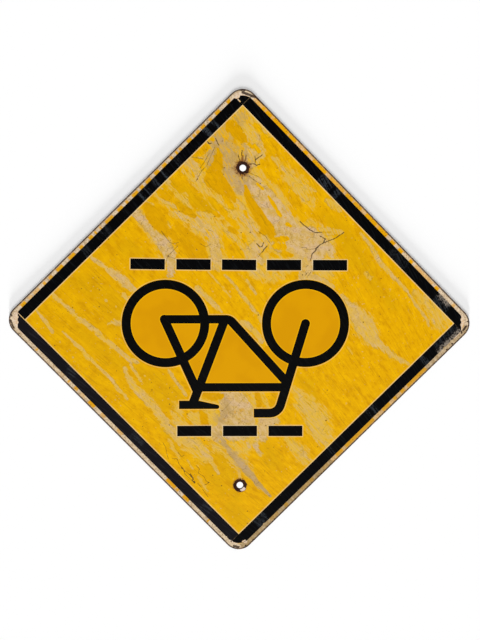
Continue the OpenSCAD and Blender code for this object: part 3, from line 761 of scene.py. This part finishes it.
# The worn yellow sheeting. Round each bolt hole its rust reaches so many millimetres, with an edge that is
# so rough, and a halo.
sheetingTones = {"bright": (240, 182, 0), "mid": (230, 171, 0), "gold": (212, 152, 0), "amber": (196, 140, 4),
                 "mustard": (202, 154, 4), "olive": (168, 124, 8), "halfWorn": (226, 180, 44),
                 "hazy": (221, 179, 84), "tan": (218, 184, 126), "tanDeep": (206, 168, 88),
                 "pink": (214, 182, 150), "grey": (178, 152, 120), "soot": (172, 142, 96),
                 "pale": (255, 240, 206), "crack": (54, 40, 30), "speck": (104, 72, 26),
                 "rust": (44, 24, 18), "stain": (142, 88, 40), "holeRust": (62, 32, 20),
                 "chip": (230, 212, 192), "cream": (230, 208, 176), "creamDark": (186, 160, 128),
                 "marginYellow": (230, 164, 4), "dirt": (150, 122, 70), "rim": (58, 42, 34)}
holeRust = {"upperHole": {"reach": 12.5, "rough": 20, "halo": 6},
            "lowerHole": {"reach": 11.5, "rough": 12, "halo": 3}}
# How much the faces of each kind shine
shines = {"yellow": 0.02, "black": 0.02, "steel": 0.1}


def sheetingFinish():
    mix = Mix("worn yellow sheeting", sheetingTones)
    x, y = mix.axes()
    inward = fromEdge(x, y)
    scrape = mix.scraped()
    streak = mix.noise(70, 9, detail=4, place=scrape)
    fine = mix.noise(22, 3, detail=4, roughness=0.6, shift=3, place=scrape)
    hair = mix.noise(42, 2, detail=3, roughness=0.6, shift=61, place=scrape)
    blotch = mix.noise(30, 15, detail=5, roughness=0.62, shift=7, place=scrape)
    patch = mix.noise(12, 8, detail=5, roughness=0.65, shift=13, place=scrape)
    grain = mix.noise(2.4, detail=2, shift=5)
    noises = {"fine": fine, "hair": hair, "blotch": blotch, "patch": patch, "grain": grain}

    def frayed(name, **amounts):
        # A painted value, roughened by so much of each noise
        value = mix.attribute(name)
        for noise, amount in amounts.items():
            value = value + (noises[noise] - 0.5) * amount
        return value

    # The yellow, mottled and scraped
    mottle = blotch * 0.45 + fine * 0.2 + patch * 0.35
    left = frayed("left", fine=9, patch=12, grain=2)
    golden = mix.attribute("golden") * left.rise(-1, 2)
    dull = frayed("mustard", blotch=50, fine=30).rise(-6, 14)
    yellow = mix.layers(
        "gold",
        ("mid", mottle.rise(0.4, 0.5)),
        ("bright", mottle.rise(0.5, 0.58)),
        ("gold", golden * (0.55 + (patch - 0.5) * 1.6).least(1).most(0)),
        ("amber", golden * (fine * 0.5 + patch * 0.5).rise(0.5, 0.6) * 0.5),
        ("mustard", (dull * 0.4).most(x.fall(-300, -100) * 0.2)),
        ("gold", hair.rise(0.52, 0.66) * 0.35),
        ("olive", (hair * 0.6 + streak * 0.4).rise(0.54, 0.64) * 0.35))

    # How far it is worn. At the top, thin veins of yellow are left in the worn places.
    worn = frayed("worn", fine=12, patch=14, hair=3, grain=3)
    share = worn.rise(-1.5, 2.5) * frayed("bare", patch=0.45, fine=0.5, blotch=0.7).least(1).most(0)
    island = mix.noise(20, 8, detail=5, roughness=0.62, distortion=0.6, shift=51, place=scrape)
    haze = frayed("haze", patch=30, fine=16).rise(-6, 6) * (0.38 + (island - 0.5) * 2.2).least(0.75).most(0)
    scraped = (fine * 0.6 + hair * 0.4).rise(0.57, 0.68) * streak.rise(0.46, 0.6) * 0.35
    amount = share.most(haze).most(scraped) * left.fall(-1.2, 1.2)
    veins = mix.noise(26, 5, detail=4, roughness=0.6, distortion=1.4, shift=121, place=scrape).rise(0.54, 0.6)
    amount = amount * (1 - veins * y.rise(105, 150) * mix.attribute("bare").fall(0.8, 0.95) * 0.7)

    # Worn thin, and worn through to the tan underneath
    soot = frayed("soot", patch=24, fine=16).rise(-6, 8) * 0.55
    thin = mix.layers(
        "halfWorn",
        ("hazy", (fine * 0.4 + hair * 0.3 + patch * 0.3).rise(0.42, 0.58)),
        ("soot", soot * 0.7))
    under = mix.layers(
        "tan",
        ("tanDeep", patch.rise(0.4, 0.6)),
        ("pink", mix.noise(30, 16, detail=3, shift=21).rise(0.5, 0.64) * 0.5),
        ("stain", mix.specks(2.4, 16, 101, 0.58, 0.68) * 0.55),
        ("gold", mix.specks(6, 26, 111, 0.6, 0.7) * 0.6),
        ("grey", (grain * 0.4 + hair * 0.6).rise(0.53, 0.66) * 0.4),
        ("soot", soot))

    # The edges of what is left are lifted and dirty here and there. The worn places have fine webs of
    # cracks, beside the drawn ones.
    lifted = abs(worn - 0.5).fall(0.4, 2).most(abs(left).fall(0.4, 2) * (worn + haze * 9).rise(-1, 2))
    web = mix.add("ShaderNodeTexVoronoi", {"voronoi_dimensions": "2D", "feature": "DISTANCE_TO_EDGE"},
                  {"Vector": mix.bent(6, 9), "Scale": 1 / 15}, "Distance")
    webbed = web.fall(0.01, 0.05) * amount * mix.noise(24, detail=2, shift=31).rise(0.5, 0.6) * 0.4
    crack = frayed("crack", grain=0.3).rise(0.42, 0.72)

    # The margin outside the border
    block = frayed("block", grain=3, patch=3).rise(-0.8, 0.8)
    cream = mix.layers(
        "cream",
        ("creamDark", (patch * 0.5 + grain * 0.5).rise(0.44, 0.6)),
        ("marginYellow", block * mix.attribute("strong").rise(0, 0.75)),
        ("dirt", mix.attribute("dirt") * (0.9 + (patch - 0.5) * 1.6).least(1)),
        ("speck", mix.specks(2.2, 18, 95, 0.6, 0.68) * 0.7),
        ("rim", (inward + (grain - 0.5) * 3).fall(2.2, 3) * 0.85))

    # All of it, with specks, a pale line beside everything black, chips and rust
    chip = mix.layers("chip", ("pink", grain.rise(0.42, 0.58)))
    tone = mix.layers(
        yellow,
        (thin, amount.rise(0.05, 0.5)),
        (under, amount.rise(0.45, 0.9)),
        ("olive", lifted * blotch.rise(0.46, 0.58) * 0.4),
        ("crack", webbed),
        ("crack", crack * 0.85),
        ("olive", mix.specks(1.9, 26, 71, 0.62, 0.72) * 0.6),
        ("speck", mix.specks(2.6, 40, 81, 0.72, 0.78) * 0.7),
        ("speck", mix.dots(16, 0, 1.3) * 0.8),
        ("tan", mix.specks(4.5, 60, 91, 0.7, 0.76) * (1 - share) * 0.5),
        ("pale", mix.attribute("beside").fall(0.9, 2.2) * 0.34),
        (cream, inward.fall(10.2, 11)),
        (chip, frayed("chip", patch=12, grain=6).rise(-0.6, 0.6) * 0.85),
        ("rust", frayed("rust", grain=4).rise(-0.8, 0.8) * 0.9),
        ("stain", frayed("stain", fine=4).rise(-1.5, 1.5) * 0.7))
    ragged = mix.noise(3.2, detail=4, roughness=0.7, shift=41) - 0.5
    for hole, rust in holeRust.items():
        away = fromPoint(x, y, sign[hole]) + ragged * rust["rough"]
        reach = rust["reach"]
        tone = mix.layers(
            tone,
            ("stain", away.fall(reach, reach + rust["halo"]) * 0.65),
            ("holeRust", away.fall(reach - 1.5, reach + 1)))
    roughness = 0.42 + share * 0.25 + (grain - 0.5) * 0.15
    bump = share * -0.5 + (grain - 0.5) * 0.25 + (hair - 0.5) * 0.3 - crack
    return mix.finish(tone, roughness, bump, 0.1, shines["yellow"])


# The clean film inside the bicycle's windows, with fine cells of a size in millimetres
filmTones = {"clean": (226, 161, 0), "deep": (219, 154, 0), "mesh": (200, 138, 0), "line": (250, 190, 10),
             "speck": (140, 98, 16)}
filmCell = 3.2


def filmFinish():
    mix = Mix("clean orange film", filmTones)
    x, y = mix.axes()
    # The cells lie in slanting rows
    mesh = abs((x + y).wave(filmCell) * (x - y).wave(filmCell))
    tone = mix.layers(
        "clean",
        ("deep", mix.noise(60, detail=2).rise(0.4, 0.6)),
        ("mesh", mesh.fall(0.05, 0.5) * 0.55),
        ("speck", mix.specks(2, 50, 9, 0.72, 0.78) * 0.6),
        ("line", mix.attribute("beside").fall(0.9, 2.2) * 0.6))
    return mix.finish(tone, 0.4 + mix.noise(3, detail=2) * 0.08, mesh, 0.02, shines["yellow"])


# The black print of the bicycle
printTones = {"ink": (3, 3, 3), "inkPale": (10, 10, 10), "speck": (52, 48, 40)}


def printFinish():
    mix = Mix("black print", printTones)
    streak = mix.noise(20, 4, detail=4, place=mix.scraped())
    tone = mix.layers(
        "ink",
        ("inkPale", streak.rise(0.5, 0.7)),
        ("speck", mix.specks(1.8, 30, 5, 0.7, 0.78) * 0.4))
    return mix.finish(tone, 0.32 + mix.noise(6, detail=3) * 0.1, mix.noise(1.5, detail=2), 0.02,
                      shines["black"])


# The black tape
tapeTones = {"dark": (3, 3, 4), "pale": (16, 18, 20), "speck": (70, 62, 52), "rub": (70, 76, 82),
             "scuff": (150, 138, 124), "edge": (120, 104, 84)}
# The lower left strip has faded
fadedTones = {"border_lower_left": {"dark": (20, 18, 22), "pale": (34, 32, 36)}}
# The rubs across each strip: place along it, half the rub's width, and how grey
tapeRubs = {
    "upper_left": [(32, 4, 0.5), (47, 3, 0.4), (68, 3, 0.4), (88, 1.5, 0.6), (197, 4, 0.9), (217, 3, 0.5),
                   (122, 6, 0.25), (-60, 8, 0.2), (-110, 8, 0.2)],
    "upper_right": [(-72, 14, 0.5), (-44, 5, 0.4), (234, 16, 0.35), (120, 20, 0.2)],
    "lower_right": [(-250, 30, 0.25), (-190, 5, 0.4), (-62, 4, 0.4), (-50, 2, 0.4), (48, 3, 0.5),
                    (228, 12, 0.4)],
    "lower_left": [(-200, 10, 0.25), (-20, 14, 0.2), (150, 10, 0.25)],
}
# Pale scuffs on the tape's outer side: place along the strip and half the length
tapeScuffs = {"upper_right": [(232, 14)], "lower_right": [(-250, 32)]}


def tapeFinish(name):
    mix = Mix("black tape " + name.replace("_", " "), {**tapeTones, **fadedTones.get(name, {})})
    grain = mix.noise(3, detail=3, shift=2)
    streak = mix.noise(30, 3, detail=4, shift=len(name), place=mix.scraped())
    tone = mix.layers(
        "dark",
        ("pale", streak.rise(0.5, 0.72)),
        ("speck", mix.specks(2, 26, 6, 0.7, 0.78) * 0.5))
    side = name.replace("border_", "")
    if side in tapeRubs:
        x, y = mix.axes()
        turn = math.radians(sideTurns[side])
        along = x * math.cos(turn) + y * math.sin(turn)
        across = x * -math.sin(turn) + y * math.cos(turn)
        rubbed = 0
        for place, half, strong in tapeRubs[side]:
            rub = abs(along - place + (streak - 0.5) * 6).fall(half - 1.5, half + 2.5) * strong
            rubbed = rub.most(rubbed)
        tone = mix.layers(tone, ("rub", rubbed * (streak * 0.6 + grain * 0.4).rise(0.42, 0.62)))
        for place, half in tapeScuffs.get(side, []):
            scuff = abs(along - place + (streak - 0.5) * 12).fall(half - 4, half + 3)
            outer = (across - sign["borderIn"] + (grain - 0.5) * 14 + (streak - 0.5) * 8).rise(9, 19)
            tone = mix.layers(tone, ("scuff", scuff * outer * grain.rise(0.3, 0.6) * 0.85))
        # The tape's cut edges are scuffed here and there
        middle = (sign["borderOut"] + sign["borderIn"]) / 2
        halfWidth = (sign["borderOut"] - sign["borderIn"]) / 2
        edge = (abs(across - middle) - halfWidth + (grain - 0.5) * 2.4).rise(-0.8, 0)
        tone = mix.layers(tone, ("edge", edge * mix.noise(16, detail=3, shift=8).rise(0.52, 0.62) * 0.7))
    return mix.finish(tone, 0.45 + streak * 0.2, grain, 0.05, shines["black"])


# The steel: rusted wherever it shows in front, plain and weathered behind. A pale patch is painted on the
# front beside the lower hole, at a place in millimetres.
steelTones = {"grey": (152, 154, 152), "greyDark": (137, 138, 135), "rust": (116, 66, 34),
              "rustDark": (46, 28, 22), "rim": (70, 52, 42), "rimPale": (176, 140, 108),
              "holeRust": (62, 32, 20), "holeDark": (40, 22, 16), "fleck": (226, 204, 190)}
palePatchPlace = (7, -307)


def steelFinish():
    mix = Mix("weathered steel", steelTones)
    x, y, z = mix.axes("XYZ")
    cloud = mix.noise(60, detail=5, roughness=0.6)
    grain = mix.noise(3, detail=4, roughness=0.6, shift=4)
    hole = fromPoint(x, y, sign["upperHole"]).least(fromPoint(x, y, sign["lowerHole"]))
    bleed = (hole + (cloud - 0.5) * 40 + (grain - 0.5) * 8).fall(14, 24)
    edge = (fromEdge(x, y) + (cloud - 0.5) * 22 + (grain - 0.5) * 4).fall(1.5, 5)
    back = mix.layers(
        "grey",
        ("greyDark", cloud.rise(0.42, 0.6)),
        ("rust", mix.dots(26, 0.3, 2.4, 2) * 0.7),
        ("rust", bleed.most(edge) * 0.85),
        ("rustDark", (hole + (grain - 0.5) * 5).fall(8, 12)))
    besideHole = mix.layers("holeRust", ("holeDark", grain.rise(0.4, 0.6)))
    # A pale patch painted on the front beside the lower hole, outside the hole's dark ring
    fleck = (fromPoint(x, y, palePatchPlace) + (grain - 0.5) * 10).fall(4, 6) * hole.rise(7, 8)
    front = mix.layers(
        "rim",
        ("rustDark", grain.rise(0.45, 0.6)),
        ("rimPale", mix.noise(9, detail=3, shift=6).rise(0.56, 0.66) * 0.8),
        (besideHole, hole.fall(30, 34)),
        ("fleck", fleck))
    isFront = z.rise(0.1, 0.3)
    rusty = bleed.most(edge).most(isFront)
    return mix.finish(mix.layers(back, (front, isFront)), 0.5 + rusty * 0.3, grain * rusty, 0.2,
                      shines["steel"])


def dressAll(face, film):
    dress(face, sheetingFinish())
    dress(film, filmFinish())
    for name, piece in nodes.items():
        if name == "bicycle_print":
            dress(piece, printFinish())
        elif name in blackNodes:
            dress(piece, tapeFinish(name))
    steel = steelFinish()
    for name in ("sheet_blank", "yellow_sheeting", "symbol_film"):
        dress(nodes[name], steel)
    print("all pieces have their finish")


# The camera, its place in millimetres and its turn in degrees
cameraView = {"lens": 45, "place": (-33.2, 61, 1455.7), "turn": (-2.29, -1.24, 0.53)}


def setCamera():
    camera = bpy.data.objects.new("camera", bpy.data.cameras.new("camera"))
    camera.data.lens = cameraView["lens"]
    camera.location = [value * mm for value in cameraView["place"]]
    camera.rotation_euler = [math.radians(value) for value in cameraView["turn"]]
    bpy.context.scene.collection.objects.link(camera)
    bpy.context.scene.camera = camera


# The floor, in metres, how white it is, and the light. Each sun has its height and spread in degrees, and
# its share of the light. The floor's suns light the floor only, and the two low ones throw the sheet's soft
# shadow past its two upper edges. One of the sign's suns is below the floor and lights the sign's back.
studio = {"floorSide": 30, "floorGap": 0.0002, "floorWhite": 0.97, "ambient": 0.28,
          "floorSuns": [(3, 4, 0.17), (18, 20, 0.28), (89, 20, 0.28)],
          "signSuns": {"sign sun": (62, 40, 0.74), "back sun": (-62, 40, 0.6)}}


def makeFloor():
    bpy.ops.object.select_all(action="DESELECT")
    bpy.ops.mesh.primitive_plane_add(size=studio["floorSide"], location=(0, 0, -studio["floorGap"]))
    floor = bpy.context.object
    floor.name = "floor"
    mix = Mix("pale floor")
    # The floor is clear right under the sign and seen from below, so that the back can be lit and looked at,
    # and the two bolt holes show the white room
    under = fromEdge(*mix.axes()).rise(2, 2.5)
    fromBelow = mix.add("ShaderNodeNewGeometry", output="Backfacing")
    white = mix.add("ShaderNodeBsdfDiffuse", None, {"Color": (studio["floorWhite"],) * 3 + (1,)})
    clear = mix.add("ShaderNodeBsdfTransparent")
    surface = mix.add("ShaderNodeMixShader", None, {0: under.most(fromBelow), 1: white, 2: clear})
    mix.add("ShaderNodeOutputMaterial", None, {"Surface": surface}, None)
    dress(floor, mix.material)
    floor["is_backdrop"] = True
    return floor


def sun(name, height, spread, share, only):
    # A sun from the side of the sign's lowest corner, which lights only some of the pieces
    light = bpy.data.objects.new(name, bpy.data.lights.new(name, "SUN"))
    light.data.energy = share * math.pi / abs(math.sin(math.radians(height)))
    light.data.angle = math.radians(spread)
    light.rotation_euler = (math.radians(90 - height), 0, 0)
    bpy.context.scene.collection.objects.link(light)
    lit = bpy.data.collections.new(name + " lights")
    for piece in only:
        lit.objects.link(piece)
    light.light_linking.receiver_collection = lit


def setLight(floor):
    world = bpy.data.worlds.new("studio")
    world.use_nodes = True
    # The room looks white to the camera, and gives only a share of that as light
    nodeTree = world.node_tree
    background = nodeTree.nodes["Background"]
    seen = nodeTree.nodes.new("ShaderNodeLightPath")
    strength = nodeTree.nodes.new("ShaderNodeMapRange")
    strength.inputs["To Min"].default_value = studio["ambient"]
    nodeTree.links.new(seen.outputs["Is Camera Ray"], strength.inputs["Value"])
    nodeTree.links.new(strength.outputs["Result"], background.inputs["Strength"])
    background.inputs["Color"].default_value = (1, 1, 1, 1)
    bpy.context.scene.world = world
    bpy.context.scene.view_settings.view_transform = "Standard"
    for number, (height, spread, share) in enumerate(studio["floorSuns"]):
        sun("floor sun %d" % number, height, spread, share / studio["floorWhite"], [floor])
    for name, (height, spread, share) in studio["signSuns"].items():
        sun(name, height, spread, share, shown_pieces())


# The whole scene
setCamera()
floor = makeFloor()
face = makeSheeting()
film = makeFilm()
dressAll(face, film)
setLight(floor)
print("camera and light are set")
